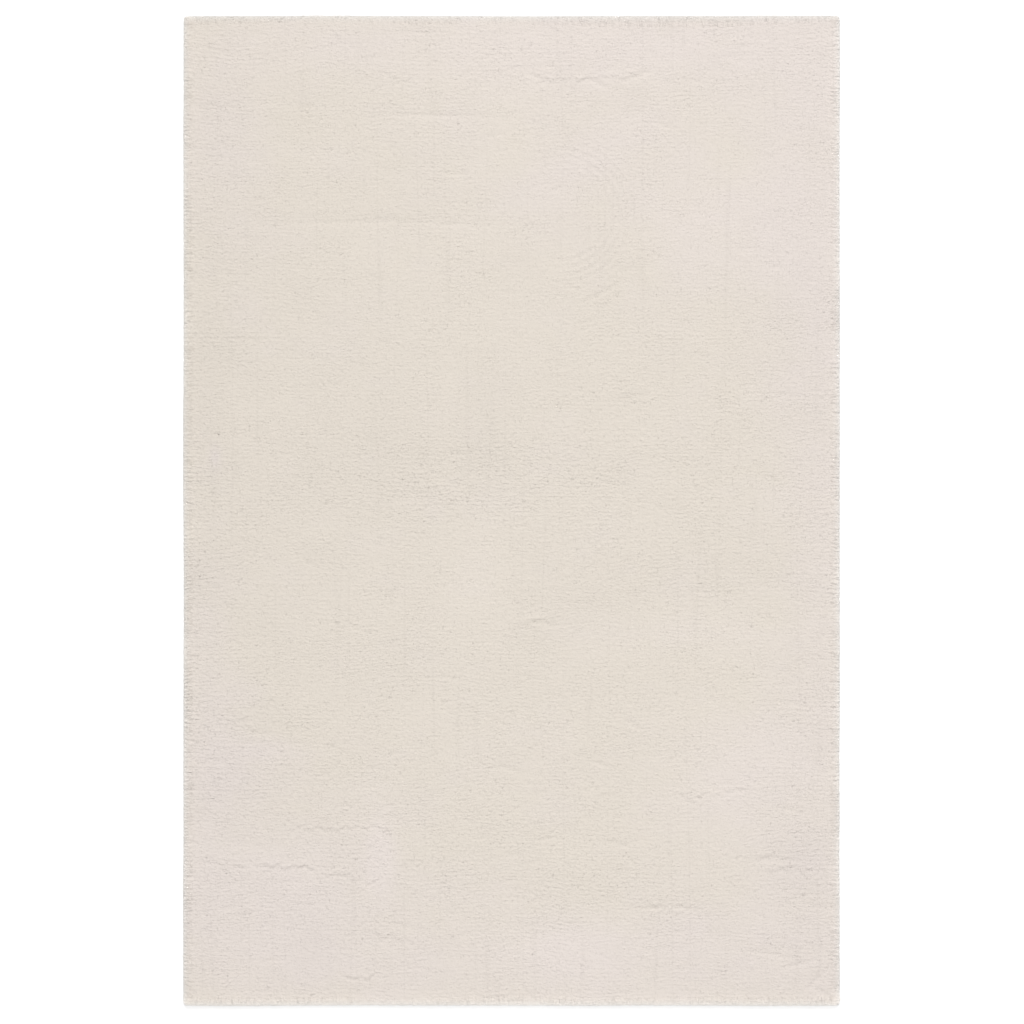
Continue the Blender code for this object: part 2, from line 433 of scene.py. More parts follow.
def scattered_wrinkles():
    """Short wrinkles as the hand leaves them, closer together near both ends of the rug."""
    chance = np.random.default_rng(SHORT_WRINKLE_SEED)
    marks = []
    for _ in range(SHORT_WRINKLES):
        x, y = (chance.uniform(-part, part) * side for part, side in zip(SHORT_SPREAD, (WIDTH, LENGTH)))
        mark = {
            "x": x, "y": y, "long": chance.uniform(*SHORT_LONG), "wide": chance.uniform(*SHORT_WIDE),
            "turn": chance.normal(0, SHORT_LEAN), "height": -chance.uniform(*SHORT_DEEP),
        }
        sparse = SPARSE[0] <= y / (LENGTH / 2) <= SPARSE[1]
        if chance.random() < (SPARSE_SHARE if sparse else 1):
            marks.append(mark)
    return marks


# %% Maps of the rug, and how a mark goes into one
RELIEF_CELL = 0.002
MAP_MARGIN = 0.010
MARK_REACH = 1.6  # past this many times its size a mark has faded
reach_x = WIDTH / 2 + MAP_MARGIN
reach_y = LENGTH / 2 + MAP_MARGIN


def map_lines(cell):
    """Where the columns and the lines of a map of the rug stand."""
    return np.arange(-reach_x, reach_x + cell, cell), np.arange(-reach_y, reach_y + cell, cell)


def read_map(values, cell, u, v):
    """A map's value where u and v have been walked."""
    x, y = seen_from_above(u, v)
    return sample(values, (x + reach_x) / cell, (y + reach_y) / cell)


def press(relief, xs, ys, mark):
    """Presses one soft ridge or trough into the relief, in the window that it reaches."""
    reach = MARK_REACH * max(mark["long"], mark["wide"])
    left, right = np.searchsorted(xs, [mark["x"] - reach, mark["x"] + reach])
    low, high = np.searchsorted(ys, [mark["y"] - reach, mark["y"] + reach])
    x, y = np.meshgrid(xs[left:right] - mark["x"], ys[low:high] - mark["y"])
    turn = math.radians(mark["turn"])
    along = x * math.cos(turn) + y * math.sin(turn)
    aside = y * math.cos(turn) - x * math.sin(turn)
    fade = (2 * along / mark["long"]) ** 2 + (2 * aside / mark["wide"]) ** 2
    relief[low:high, left:right] += mark["height"] * np.exp(-fade)


# %% Work them all into one relief map
def frame_clumps(x, y):
    """The frame's own clumps and swells, at one place."""
    clump = noise.noise(Vector((x, y, CLUMP_SLICE * CLUMP_SIZE)) / CLUMP_SIZE) * CLUMP_HEIGHT
    swell = noise.noise(Vector((x, y, SWELL_SLICE * SWELL_SIZE)) / SWELL_SIZE) * SWELL_HEIGHT
    return clump * CLUMP_SHARE + swell


def fades_in(distance, over):
    """From 0 to 1 where a distance passes through zero."""
    return 1 / (1 + np.exp(-distance / over))


map_x, map_y = map_lines(RELIEF_CELL)
MAP_X, MAP_Y = np.meshgrid(map_x, map_y)
RELIEF = np.array([[frame_clumps(x, y) for x in map_x] for y in map_y])
for crease in CREASES:
    press(RELIEF, map_x, map_y, {**crease, "height": crease["height"] * CREASE_SHARE})
for wrinkle in (*WRINKLES, *scattered_wrinkles()):
    press(RELIEF, map_x, map_y, wrinkle)
crinkle_chance = np.random.default_rng(CRINKLE_SEED)
for chain in CRINKLES:
    for wrinkle in crinkled(chain, crinkle_chance):
        press(RELIEF, map_x, map_y, wrinkle)
for line in COMB_LINES:
    beside = np.exp(-(((MAP_X - line["x"]) / COMB_WIDTH) ** 2))
    ends = fades_in(MAP_Y - line["start"], COMB_FADE) * fades_in(line["end"] - MAP_Y, COMB_FADE)
    RELIEF -= line["depth"] * beside * ends
from_swirl = np.hypot(MAP_X - SWIRL["x"], MAP_Y - SWIRL["y"])
ring = np.exp(-(((from_swirl - SWIRL["radius"]) / SWIRL["spread"]) ** 2))
right_of_it = fades_in(MAP_X - SWIRL["x"], SWIRL["fade"])
RELIEF += SWIRL["height"] * ring * right_of_it * np.cos(2 * math.pi * from_swirl / SWIRL["spacing"])
print(f"the relief runs from {RELIEF.min() * 1000:.1f} to {RELIEF.max() * 1000:.1f} mm")

# %% [markdown]
# ## Rows of tufts
#
# The tufts stand in rows across the rug, and their tips lean towards its near end. So the ripple isn't
# a sine: it climbs slowly from the roots to the tips and drops steeply at the tips. Each row wanders,
# a lot over a hand's width and a little from tuft to tuft, and is higher here and lower there. A place
# on the rug is given by u and by s, its place among the straight rows, and `row_shift` says how far
# the pile has really wandered.

# %% Where the pile is ruffled
# Soft patches where the ripple stands higher, or lower, than in the rest of the rug.
RUFFLED = table("x y long wide turn more", (
    (0.015, 0.056, 1.30, 0.14, 0, 0.25),
    (-0.112, 0.065, 0.36, 0.12, 0, 0.35),
    (-0.560, -0.050, 2.60, 0.16, 90, 0.30),
    (0.560, -0.050, 2.60, 0.12, 90, 0.20),
    (-0.478, -0.419, 0.24, 0.20, 0, 0.30),
    (-0.295, -0.620, 0.32, 0.22, 0, 0.25),
    (0.080, -0.660, 0.28, 0.20, 20, 0.25),
    (0.527, -0.620, 0.16, 0.16, 0, 0.30),
    (0.326, -0.127, 0.34, 0.14, 0, 0.15),
    (0.418, 0.605, 0.22, 0.26, 0, -0.20),
    (0.060, 0.430, 0.16, 0.34, 0, -0.20),
    (0.000, 0.560, 1.10, 0.56, 0, -0.12),
    (0.418, -0.600, 0.12, 0.12, 0, -0.25),
))
PATCH_CELL = 0.005
RUFFLE_LEVEL = 0.92
RUFFLE_LAYERS = ((0.15, 0.070, 0.045, 15), (0.14, 0.022, 0.014, 16))
RUFFLE_LIMITS = (0.15, 2.2)


def patch_map(level, layers, patches, kind):
    """A map around a level, uneven in layers, with one value of each soft patch laid over it."""
    xs, ys = map_lines(PATCH_CELL)
    values = level + layered(*np.meshgrid(xs, ys), layers)
    for patch in patches:
        press(values, xs, ys, {**patch, "height": patch[kind]})
    return values


RUFFLE_MAP = np.clip(patch_map(RUFFLE_LEVEL, RUFFLE_LAYERS, RUFFLED, "more"), *RUFFLE_LIMITS)
print(f"the pile is ruffled {RUFFLE_MAP.min():.2f} to {RUFFLE_MAP.max():.2f} times as much as usual")

# %% How the rows wander
ROW_PITCH = 0.0073
ROWS = round(2 * V_END / ROW_PITCH)
ROW = 2 * V_END / ROWS
TUFT_SPREAD = 0.005  # how far along a row one tuft is like the next
# How the rows wander: how large the bends are, and how far they go.
SHIFTS = table("across along far most seed", (
    (0.160, 0.100, 0.0060, 3.0, 12),
    (0.045, 0.025, 0.0018, 1.5, 11),
    (TUFT_SPREAD, ROW, 0.0006, 1.3, 13),
))
EDGE_STEADY = 0.035  # over this much at each end the rows run straight again


def row_shift(u, s):
    """How far the pile of row place s has wandered along the rug."""
    shift = 0
    for bend in SHIFTS:
        wander = unevenness(u, s, bend["across"], bend["along"], bend["seed"])
        shift = shift + bend["far"] * np.clip(wander, -bend["most"], bend["most"])
    return shift * np.clip((V_END - np.abs(s)) / EDGE_STEADY, 0, 1)


print(f"{ROWS} rows of tufts, {ROW * 1000:.2f} mm apart")

# %% The ripple
RIPPLE = 0.00030
TROUGH = 0.66  # where between two rows' tips the pile is lowest
TUFT_LEVEL = 0.75  # how strong the ripple is, and how much that varies from tuft to tuft
TUFT_LAYERS = ((0.55, TUFT_SPREAD, 0.9 * ROW, 41),)
TUFT_MOST = 2.4
FINE_LAYERS = ((0.00006, 0.007, 0.004, 32),)
LIE_STEP = 0.0009
LIE_STEEPNESS = 1.4  # single fibres lie steeper than the surface that they make up


def ripple_strength(u, s):
    """How high the ripple stands: as the pile is ruffled there, and uneven from tuft to tuft."""
    tuft = TUFT_LEVEL + layered(u, s, TUFT_LAYERS)
    return read_map(RUFFLE_MAP, PATCH_CELL, u, s) * np.clip(tuft, 0, TUFT_MOST)


def tuft_wave(phase):
    """One row's profile, from 1 at its tips down to -1 at the trough and steeply up to the next."""
    phase = phase - np.floor(phase)
    body = 1 - 2 * phase / TROUGH
    drop = -1 + 2 * (phase - TROUGH) / (1 - TROUGH)
    return np.where(phase < TROUGH, body, drop)


def pile_height(u, s):
    """How far the pile stands above or below the smooth rug at row place s."""
    ripple = RIPPLE * ripple_strength(u, s) * tuft_wave((s + V_END) / ROW)
    mark = read_map(RELIEF, RELIEF_CELL, u, s - row_shift(u, s))
    return ripple + layered(u, s, FINE_LAYERS) + mark


def pile_lie(u, s, v):
    """The direction that the pile at row place s faces, with its ripple: the way light sees it."""
    slope_u = pile_height(u + LIE_STEP, s) - pile_height(u - LIE_STEP, s)
    slope_s = pile_height(u, s + LIE_STEP) - pile_height(u, s - LIE_STEP)
    slopes = np.stack([slope_u, slope_s, 0 * slope_u], -1) / (2 * LIE_STEP)
    return soft_normal(rug_normal(u, v)) - LIE_STEEPNESS * slopes


# %% [markdown]
# ## How the pile is brushed, and its painted light and shade
#
# The photograph's cream isn't one colour, and much of that is painted light and shade. Where the nap is
# brushed the other way it catches more light, and it is painted lighter there. The left side is painted
# darker, as painted shade, and each rim is painted lighter or darker to even out how it is lit. The far
# right and near left parts are rosier and whiter than the middle, and along the edges that whiter tone is
# painted light from the white floor. The outermost locks, which light shines through, are painted almost
# white. Three masks hold this: how much painted light and shade, how rosy, how near the rim.
# They are stored on the points of every piece of pile, so that skin and locks always agree.

# %% Tone masks
# Soft patches, by their middle. Light is painted light above 0 and painted shade below it, in shares of
# the pile's own tone.
PAINTED_LIGHT_AND_ROSY_PATCHES = table("x y long wide turn light rosy", (
    (0.400, 0.520, 0.30, 0.22, 0, 0.014, 0.6),
    (-0.541, 0.098, 0.04, 0.02, 90, -0.006, 1.0),
    (0.000, 0.850, 1.30, 0.16, 0, 0.008, 0.5),
    (0.540, 0.600, 0.90, 0.22, 90, 0.004, 0.7),
    (0.160, 0.650, 0.30, 0.10, 30, 0.010, 0.5),
    (-0.050, 0.150, 0.26, 0.10, 90, -0.022, 0.1),
    (-0.290, 0.080, 0.34, 0.16, 0, -0.014, 0.0),
    (-0.560, 0.230, 0.30, 0.10, 90, -0.022, 0.0),
    (-0.580, -0.110, 0.14, 0.10, 0, -0.024, 0.1),
    (-0.500, -0.500, 0.20, 0.10, 10, -0.016, 0.3),
    (-0.060, -0.130, 0.28, 0.12, 80, 0.022, 0.1),
    (0.350, -0.225, 0.34, 0.07, 0, 0.022, 0.3),
    (0.330, -0.110, 0.40, 0.07, 0, -0.012, 0.0),
    (0.410, -0.500, 0.26, 0.26, 0, 0.020, 0.7),
    (0.530, -0.640, 0.16, 0.12, 0, -0.026, 0.3),
    (-0.460, -0.690, 0.46, 0.34, 0, 0.004, 1.0),
    (-0.240, -0.630, 0.16, 0.06, 90, 0.034, 0.9),
    (-0.370, -0.800, 0.12, 0.08, 90, -0.020, 0.4),
    (0.120, -0.810, 0.34, 0.12, 0, 0.022, 0.6),
    (0.480, -0.800, 0.34, 0.26, 0, 0.000, 0.5),
    (-0.550, -0.420, 0.26, 0.13, 90, 0.000, 0.8),
    (-0.450, -0.435, 0.14, 0.05, -4, 0.002, 0.7),
    (-0.560, -0.180, 0.26, 0.12, 90, 0.000, 0.4),
    (-0.540, 0.680, 0.50, 0.18, 90, 0.000, 0.5),
    (0.100, 0.610, 0.50, 0.26, 0, 0.000, 0.4),
    (0.550, -0.080, 0.50, 0.16, 90, 0.000, 0.3),
    (0.500, -0.480, 0.30, 0.20, 90, 0.000, 0.3),
    (0.000, -0.850, 1.50, 0.30, 0, 0.000, 0.5),
    (0.250, 0.860, 0.80, 0.26, 0, -0.006, 0.6),
    (0.620, 0.000, 4.00, 0.20, 90, 0.000, 0.4),
    (-0.520, 0.820, 0.60, 0.50, 0, -0.016, 0.0),
    (0.000, 0.450, 3.00, 0.60, 0, -0.012, 0.0),
    (0.540, 0.450, 0.30, 0.60, 0, -0.012, 0.0),
    (0.000, -0.480, 3.00, 0.40, 0, 0.008, 0.0),
    (-0.620, 0.250, 2.40, 0.80, 90, -0.024, 0.0),
    (0.100, -0.900, 1.60, 0.60, 0, 0.020, 0.0),
    # The last four rows paint light and shade on the rims: much lighter at the near end, lighter at both
    # sides, a little darker at the far end.
    (0.000, -0.903, 3.60, 0.026, 0, 0.210, 0.0),
    (0.000, 0.903, 3.60, 0.034, 0, -0.032, 0.0),
    (-0.598, 0.000, 5.40, 0.034, 90, 0.058, 0.0),
    (0.598, 0.000, 5.40, 0.030, 90, 0.072, 0.0),
))
PAINTED_LIGHT_LAYERS = ((0.003, 0.09, 0.06, 51), (0.002, 0.03, 0.02, 52))
ROSY_LAYERS = ((0.10, 0.08, 0.07, 53), (0.06, 0.03, 0.02, 54))
# The rim's pale band is painted light: the light that shines through its outermost locks.
RIM_BAND = 0.012  # how far in from its foot the rim is pale
# The light map is painted light and shade; the rosy map is the pile's rosier white, which along the edges
# is painted light from the white floor.
PAINTED_LIGHT_MAP = patch_map(0, PAINTED_LIGHT_LAYERS, PAINTED_LIGHT_AND_ROSY_PATCHES, "light")
ROSY_MAP = np.clip(patch_map(0, ROSY_LAYERS, PAINTED_LIGHT_AND_ROSY_PATCHES, "rosy"), 0, 1)


def tones(u, v):
    """The three masks at u and v: how much painted light and shade, how rosy, and how near the rim, which
    is painted lighter.
    """
    from_foot = np.minimum(U_END - np.abs(u), V_END - np.abs(v))
    rim = np.exp(-((np.maximum(from_foot, 0) / RIM_BAND) ** 2))
    light, rosy = (read_map(values, PATCH_CELL, u, v) for values in (PAINTED_LIGHT_MAP, ROSY_MAP))
    return np.stack([light, rosy, rim], -1)


print(f"light runs from {PAINTED_LIGHT_MAP.min():.3f} to {PAINTED_LIGHT_MAP.max():.3f}")

# %% [markdown]
# ## The ground cloth
#
# Under the pile lies the woven ground that the tufts are fixed in. Nobody sees it but from below, where
# it is what the rug rests on. A grid, given its thickness by Solidify, is the plain way to make a cloth
# that lies flat. Its weave is far finer than a millimetre or two and is left to the material.

# %% Ground cloth
CLOTH_INSET = 0.005  # from the foot of the pile to the edge of the cloth
CLOTH_THICKNESS = 0.002
CLOTH_CELLS_ACROSS = 24
CLOTH_CELLS_ALONG = 36
cloth_width = WIDTH - 2 * CLOTH_INSET
cloth_length = LENGTH - 2 * CLOTH_INSET

let_go()
bpy.ops.mesh.primitive_grid_add(
    x_subdivisions=CLOTH_CELLS_ACROSS, y_subdivisions=CLOTH_CELLS_ALONG, size=1, location=(0, 0, 0),
)
cloth = bpy.context.object
cloth.name = "ground_cloth"
bpy.ops.object.mode_set(mode="EDIT")
bpy.ops.mesh.select_all(action="SELECT")
bpy.ops.transform.resize(value=(cloth_width, cloth_length, 1), center_override=(0, 0, 0))
bpy.ops.object.mode_set(mode="OBJECT")
thickness = cloth.modifiers.new("thickness", "SOLIDIFY")
thickness.thickness = CLOTH_THICKNESS
thickness.offset = 1
bpy.ops.object.modifier_apply(modifier="thickness")
bpy.ops.object.shade_smooth_by_angle(angle=math.radians(40))
print(f"the cloth is {cloth_width:.3f} by {cloth_length:.3f} m, {cloth.dimensions.z * 1000:.1f} mm thick")

# %% [markdown]
# ## The skin of the pile
#
# Between the locks one sees more pile. A skin stands for it: a fine grid laid over the rug, whose lines
# follow the rows of tufts, three lines to a row, at the tips, half-way down the body and in the trough.
# A grid that follows the form it has to show needs far fewer faces than one that doesn't.
#
# Its outermost line lies on the floor, and two more turn in under the edge and into the cloth, so that
# no slit shows from below. It is made in two halves, to keep each piece light, and both take their
# normals from the whole, so that no seam shows between them.

# %% Points of the whole skin
SKIN_COLUMNS = 240
SKIN_PHASES = (0.0, 0.33, TROUGH)
SKIN_SINK = 0.0002  # the locks lie on it, so it is a touch lower than the pile
# How far in under the edge each line of the lip lies, and how high.
LIP = table("in up", (
    (0.0004, 0.0000),
    (0.0090, 0.0008),
))

columns_u = np.linspace(-U_END, U_END, SKIN_COLUMNS + 1)
lines_s = np.append([-V_END + (r + p) * ROW for r in range(ROWS) for p in SKIN_PHASES], V_END)
SKIN_U, SKIN_S = np.meshgrid(columns_u, lines_s)
SKIN_V = SKIN_S - row_shift(SKIN_U, SKIN_S)
skin_height = pile_height(SKIN_U, SKIN_S) - SKIN_SINK
skin_points = on_rug(SKIN_U, SKIN_V) + rug_normal(SKIN_U, SKIN_V) * skin_height[..., None]
skin_points[..., 2] = np.maximum(skin_points[..., 2], 0)
skin_lie = pile_lie(SKIN_U, SKIN_S, SKIN_V)


def add_lip(points, lies):
    """Adds lines all round, turned in under the edge and facing the floor."""
    for line in LIP:
        points = np.pad(points, ((1, 1), (1, 1), (0, 0)), mode="edge")
        points[[0, -1], :, 2] = line["up"]
        points[:, [0, -1], 2] = line["up"]
        points[0, :, 1] += line["in"]
        points[-1, :, 1] -= line["in"]
        points[:, 0, 0] += line["in"]
        points[:, -1, 0] -= line["in"]
        lies = np.pad(lies, ((1, 1), (1, 1), (0, 0)))
        lies[[0, -1], :, 2] = -1
        lies[:, [0, -1], 2] = -1
    return points, lies


skin_points, skin_lie = add_lip(skin_points, skin_lie)
SKIN_U, SKIN_S, SKIN_V = (np.pad(values, len(LIP), mode="edge") for values in (SKIN_U, SKIN_S, SKIN_V))
print(f"the skin has {skin_points.shape[0]} lines of {skin_points.shape[1]} points")

# %% [markdown]
# Every piece of pile carries four things on its points for the material: `tone`, the masks above; `nap`,
# the place across and along the fibres; `depth`, from 0 at the root to 1 at the tip, which the material
# turns into painted shade at the roots and painted light at the tips; and `ruffle`. It also has a UV map,
# laid out by distance walked, which keeps each face's proportions.

# %% What every piece of pile carries
def add_masks(mesh, u, v, nap, depth):
    """Stores what the pile's material reads on the mesh's points."""
    for name, values in (("tone", tones(u, v)), ("nap", nap)):
        layer = mesh.attributes.new(name, "FLOAT_VECTOR", "POINT")
        layer.data.foreach_set("vector", values.astype(np.float32).ravel())
    for name, values in (("depth", depth), ("ruffle", read_map(RUFFLE_MAP, PATCH_CELL, u, v))):
        layer = mesh.attributes.new(name, "FLOAT", "POINT")
        layer.data.foreach_set("value", values.astype(np.float32).ravel())


def add_map(mesh, u, s):
    """A UV map by distance walked, fitted to the piece."""
    while mesh.uv_layers:
        mesh.uv_layers.remove(mesh.uv_layers[0])
    flat = np.stack([(u - u.min()) / np.ptp(u), (s - s.min()) / np.ptp(s)], -1)
    corner = np.empty(len(mesh.loops), np.int32)
    mesh.loops.foreach_get("vertex_index", corner)
    layer = mesh.uv_layers.new(name="OFBake")
    layer.uv.foreach_set("vector", flat.reshape(-1, 2)[corner].astype(np.float32).ravel())


def set_normals(mesh, own_share, normals):
    """Shades the mesh smooth, with its normals drawn towards the ones given."""
    mesh.shade_smooth()
    own = np.empty(3 * len(mesh.vertices), np.float32)
    mesh.vertices.foreach_get("normal", own)
    normals = normals / np.linalg.norm(normals, axis=-1, keepdims=True)
    mixed = own_share * own.reshape(-1, 3) + (1 - own_share) * normals.reshape(-1, 3)
    mixed /= np.maximum(np.linalg.norm(mixed, axis=1, keepdims=True), TINY)
    mesh.normals_split_custom_set_from_vertices(mixed.tolist())


# %% Lay a grid of points out as a piece
SKIN_OWN_SHARE = 0.1  # how much of its own normals the skin keeps
# The skin's depth sets its painted shade: darker in the troughs and lighter at the tips of the rows.
SKIN_DEPTH = 0.35  # how far up the fibres it shows, and how much more at the tips than in the troughs
SKIN_DEPTH_SWING = 0.25


def add_skin(name, lines):
    """Adds a grid as large as these lines of the skin, and moves its points onto them."""
    points = skin_points[lines]
    let_go()
    bpy.ops.mesh.primitive_grid_add(
        x_subdivisions=points.shape[1] - 1, y_subdivisions=points.shape[0] - 1, size=2, calc_uvs=False,
    )
    piece = bpy.context.object
    piece.name = name
    mesh = piece.data
    places = np.empty(3 * len(mesh.vertices), np.float32)
    mesh.vertices.foreach_get("co", places)
    places = places.reshape(-1, 3)
    column = np.rint((places[:, 0] + 1) / 2 * (points.shape[1] - 1)).astype(int)
    line = np.rint((places[:, 1] + 1) / 2 * (points.shape[0] - 1)).astype(int)
    mesh.vertices.foreach_set("co", points[line, column].astype(np.float32).ravel())
    mesh.update()
    u, s, v = (values[lines][line, column] for values in (SKIN_U, SKIN_S, SKIN_V))
    depth = SKIN_DEPTH + SKIN_DEPTH_SWING * tuft_wave((s + V_END) / ROW)
    add_masks(mesh, u, v, np.stack([u, s, 0 * u], -1), depth)
    add_map(mesh, u, s)
    set_normals(mesh, SKIN_OWN_SHARE, skin_lie[lines][line, column])
    return piece


# %% Two halves of skin
middle = skin_points.shape[0] // 2
pile_pieces = [
    add_skin("pile_near", slice(0, middle + 1)),
    add_skin("pile_far", slice(middle, None)),
]
for piece in pile_pieces:
    print(piece.name, "has", len(piece.data.polygons), "faces")

# %% [markdown]
# ## One lock, by hand
#
# A lock is a pinch of fibres that cling together: pointed at the tip, flat, widest a little way up and
# narrow again where it goes down between its neighbours. Three sides are enough for something three
# millimetres wide. It starts as a cone whose point is the tip, its open end is extruded ring by ring
# towards the root, and the last ring is merged to a point. Tip at the origin, it lies along +Y.
#
# The same few steps make both kinds: the fine lock of the pile, and the longer one of the rim.

# %% The rings of both kinds
# Each ring of a lock: how far from the tip, how wide, and the heights of its edges and its ridge.
FINE_LOCK = table("along wide edge ridge", (
    (0.0044, 0.0034, -0.0004, 0.0005),
))
FINE_ROOT = {"along": 0.0105, "up": -0.0015}
RIM_LOCK = table("along wide edge ridge", (
    (0.0036, 0.0023, -0.0003, 0.0007),
    (0.0110, 0.0032, -0.0008, 0.0009),
))
RIM_ROOT = {"along": 0.0190, "up": -0.0018}
print(f"fine locks have {len(FINE_LOCK)} ring, and rim locks {len(RIM_LOCK)}")

# %% Select some points, and bring a ring to its size
def pick(piece, wanted):
    """Goes into edit mode with only those points selected that the test wants."""
    bpy.ops.object.mode_set(mode="EDIT")
    bpy.ops.mesh.select_mode(type="VERT")
    bpy.ops.mesh.select_all(action="DESELECT")
    bpy.ops.object.mode_set(mode="OBJECT")
    for point in piece.data.vertices:
        point.select = bool(wanted(point.co))
    bpy.ops.object.mode_set(mode="EDIT")


def fit_ring(centre_from, shape_from, ring):
    """Brings the selected ring, now as large as shape_from, to its own width and heights."""
    wide = ring["wide"] / shape_from["wide"]
    high = (ring["ridge"] - ring["edge"]) / (shape_from["ridge"] - shape_from["edge"])
    bpy.ops.transform.resize(value=(wide, 1, high), center_override=centre_from)
    shape_middle = centre_from[2]
    edge_now = shape_middle + (shape_from["edge"] - shape_middle) * high
    bpy.ops.transform.translate(value=(0, 0, ring["edge"] - edge_now))


# %% Model a lock ring by ring
TRIANGLE_HALF = math.cos(math.radians(30))  # half the width of a three-sided ring of radius 1


def model_lock(name, rings, root):
    """A closed three-sided lock, from its tip at the origin to its root."""
    first = rings[0]
    radius = first["wide"] / 2 / TRIANGLE_HALF
    let_go()
    bpy.ops.mesh.primitive_cone_add(
        vertices=3, radius1=radius, radius2=0, depth=first["along"], end_fill_type="NOTHING",
        location=(0, first["along"] / 2, 0), rotation=(math.radians(90), 0, 0),
    )
    lock = bpy.context.object
    lock.name = name
    bpy.ops.object.transform_apply(location=True, rotation=True, scale=True)
    shape = {"wide": first["wide"], "edge": -radius / 2, "ridge": radius}
    pick(lock, lambda co: co.y > first["along"] / 2)
    fit_ring((0, first["along"], 0), shape, first)
    for before, ring in zip(rings, rings[1:]):
        step = ring["along"] - before["along"]
        bpy.ops.mesh.extrude_region_move(TRANSFORM_OT_translate={"value": (0, step, 0)})
        fit_ring((0, ring["along"], 0), before, ring)
    step = root["along"] - rings[-1]["along"]
    ring_middle = (2 * rings[-1]["edge"] + rings[-1]["ridge"]) / 3
    bpy.ops.mesh.extrude_region_move(
        TRANSFORM_OT_translate={"value": (0, step, root["up"] - ring_middle)}
    )
    bpy.ops.mesh.merge(type="CENTER")
    bpy.ops.mesh.select_all(action="SELECT")
    bpy.ops.mesh.quads_convert_to_tris()
    bpy.ops.mesh.normals_make_consistent(inside=False)
    bpy.ops.object.mode_set(mode="OBJECT")
    return lock


# %% Model both
def read_lock(lock):
    """The lock's points and triangles. The model itself isn't needed any more."""
    points = np.array([point.co for point in lock.data.vertices])
    triangles = np.array([face.vertices for face in lock.data.polygons])
    bpy.data.objects.remove(lock)
    return points, triangles


fine_lock = read_lock(model_lock("fine_lock", FINE_LOCK, FINE_ROOT))
rim_lock = read_lock(model_lock("rim_lock", RIM_LOCK, RIM_ROOT))
for name, (points, triangles) in (("fine", fine_lock), ("rim", rim_lock)):
    size = np.ptp(points, axis=0) * 1000
    print(f"the {name} lock has {len(triangles)} triangles and is {size.round(2)} mm")

# %% [markdown]
# ## Thousands of locks
#
# Each copy is laid on the pile by its tip's place and its direction, both in distance walked, and is
# made a little longer or wider. Its edges stay just under the skin, so that only its ridge and its tip
# come out. Its normals are mostly those of the rippled pile it lies in: real fibres are so fine that
# light sees the lie of the whole pile first and the single lock only a little.

# %% How locks differ
LONG_LIMITS = (0.7, 1.3)
WIDE_LIMITS = (0.6, 1.5)
STRANDS = 50  # how far apart in the noise of the fibres two locks may lie


def vary(chance, count, kind):
    """How locks differ: in length, in width, in how far they stand out, and in their fibres."""
    return {
        "long": np.clip(chance.normal(1, kind["long"], count), *LONG_LIMITS),
        "wide": np.clip(chance.normal(1, kind["wide"], count), *WIDE_LIMITS),
        "lift": chance.uniform(kind["least"], kind["most"], count),
        "jitter": chance.normal(0, kind["jitter"], count),
        "strand": chance.uniform(0, STRANDS, count),
    }


# %% Lay locks on the pile
NEAR_TIP = 0.9  # from here on a lock's points don't sink under the crest of its row
ABOVE_FLOOR = 0.0003  # the lowest that a lock comes


def lay_locks(name, lock, tips, own_share):
    """One joined mesh of copies of a lock. tips holds an array for each named value of a copy."""
    form, triangles = lock
    count = len(tips["u"])
    length = form[:, 1].max()
    depth = np.clip(1 - form[:, 1] / length, 0, 1)
    stands_out = form[:, 2] > form[:, 2].min() / 4  # the tip and the ridge, and not edges or root
    rises = np.where(stands_out, depth, 0)
    across = form[None, :, 0] * tips["wide"][:, None]
    along = form[None, :, 1] * tips["long"][:, None]
    toward_u, toward_s = tips["toward_u"][:, None], tips["toward_s"][:, None]
    u = tips["u"][:, None] - toward_u * along - toward_s * across
    s = tips["s"][:, None] - toward_s * along + toward_u * across
    u = np.clip(u, -U_END, U_END)
    s = np.clip(s, -V_END, V_END)
    v = s - row_shift(u, s)
    height = pile_height(u, s)
    crest = pile_height(tips["crest_u"], tips["crest_s"])[:, None]
    height = np.where(rises[None, :] > NEAR_TIP, np.maximum(height, crest), height)
    up = form[None, :, 2] + tips["lift"][:, None] * rises[None, :] + tips["jitter"][:, None]
    points = on_rug(u, v) + rug_normal(u, v) * (height + up)[..., None]
    points[..., 2] = np.maximum(points[..., 2], ABOVE_FLOOR)
    faces = (np.arange(count)[:, None, None] * len(form) + triangles).reshape(-1, 3)
    mesh = bpy.data.meshes.new(name)
    mesh.vertices.add(count * len(form))
    mesh.vertices.foreach_set("co", points.astype(np.float32).ravel())
    mesh.loops.add(faces.size)
    mesh.loops.foreach_set("vertex_index", faces.ravel().astype(np.int32))
    mesh.polygons.add(len(faces))
    mesh.polygons.foreach_set("loop_start", np.arange(len(faces), dtype=np.int32) * 3)
    mesh.update()
    mesh.validate()
    strand = np.broadcast_to(tips["strand"][:, None], u.shape)
    nap = np.stack([across + 0 * u, along + 0 * u, strand], -1)
    add_masks(mesh, u, v, nap, np.broadcast_to(depth[None, :], u.shape))
    add_map(mesh, u, s)
    set_normals(mesh, own_share, pile_lie(u, s, v))
    piece = bpy.data.objects.new(name, mesh)
    bpy.context.collection.objects.link(piece)
    return piece


# %% Where the fine locks' tips are, and which way they lie
LOCK_PITCH = 0.0034
LOCK_SEED = 5
ROW_STRAY = 0.0010
NAP_LAYERS = ((0.30, 0.030, 0.030, 21), (0.25, 0.009, 0.009, 22))  # how the nap turns, in radians
NAP_STRAY = 0.15
# Within start of the foot the nap turns outwards: first at the sides, then at the ends.
FALLS = table("start bend pull", (
    (0.020, 1.5, 1.8),
    (0.016, 1.2, 2.4),
))

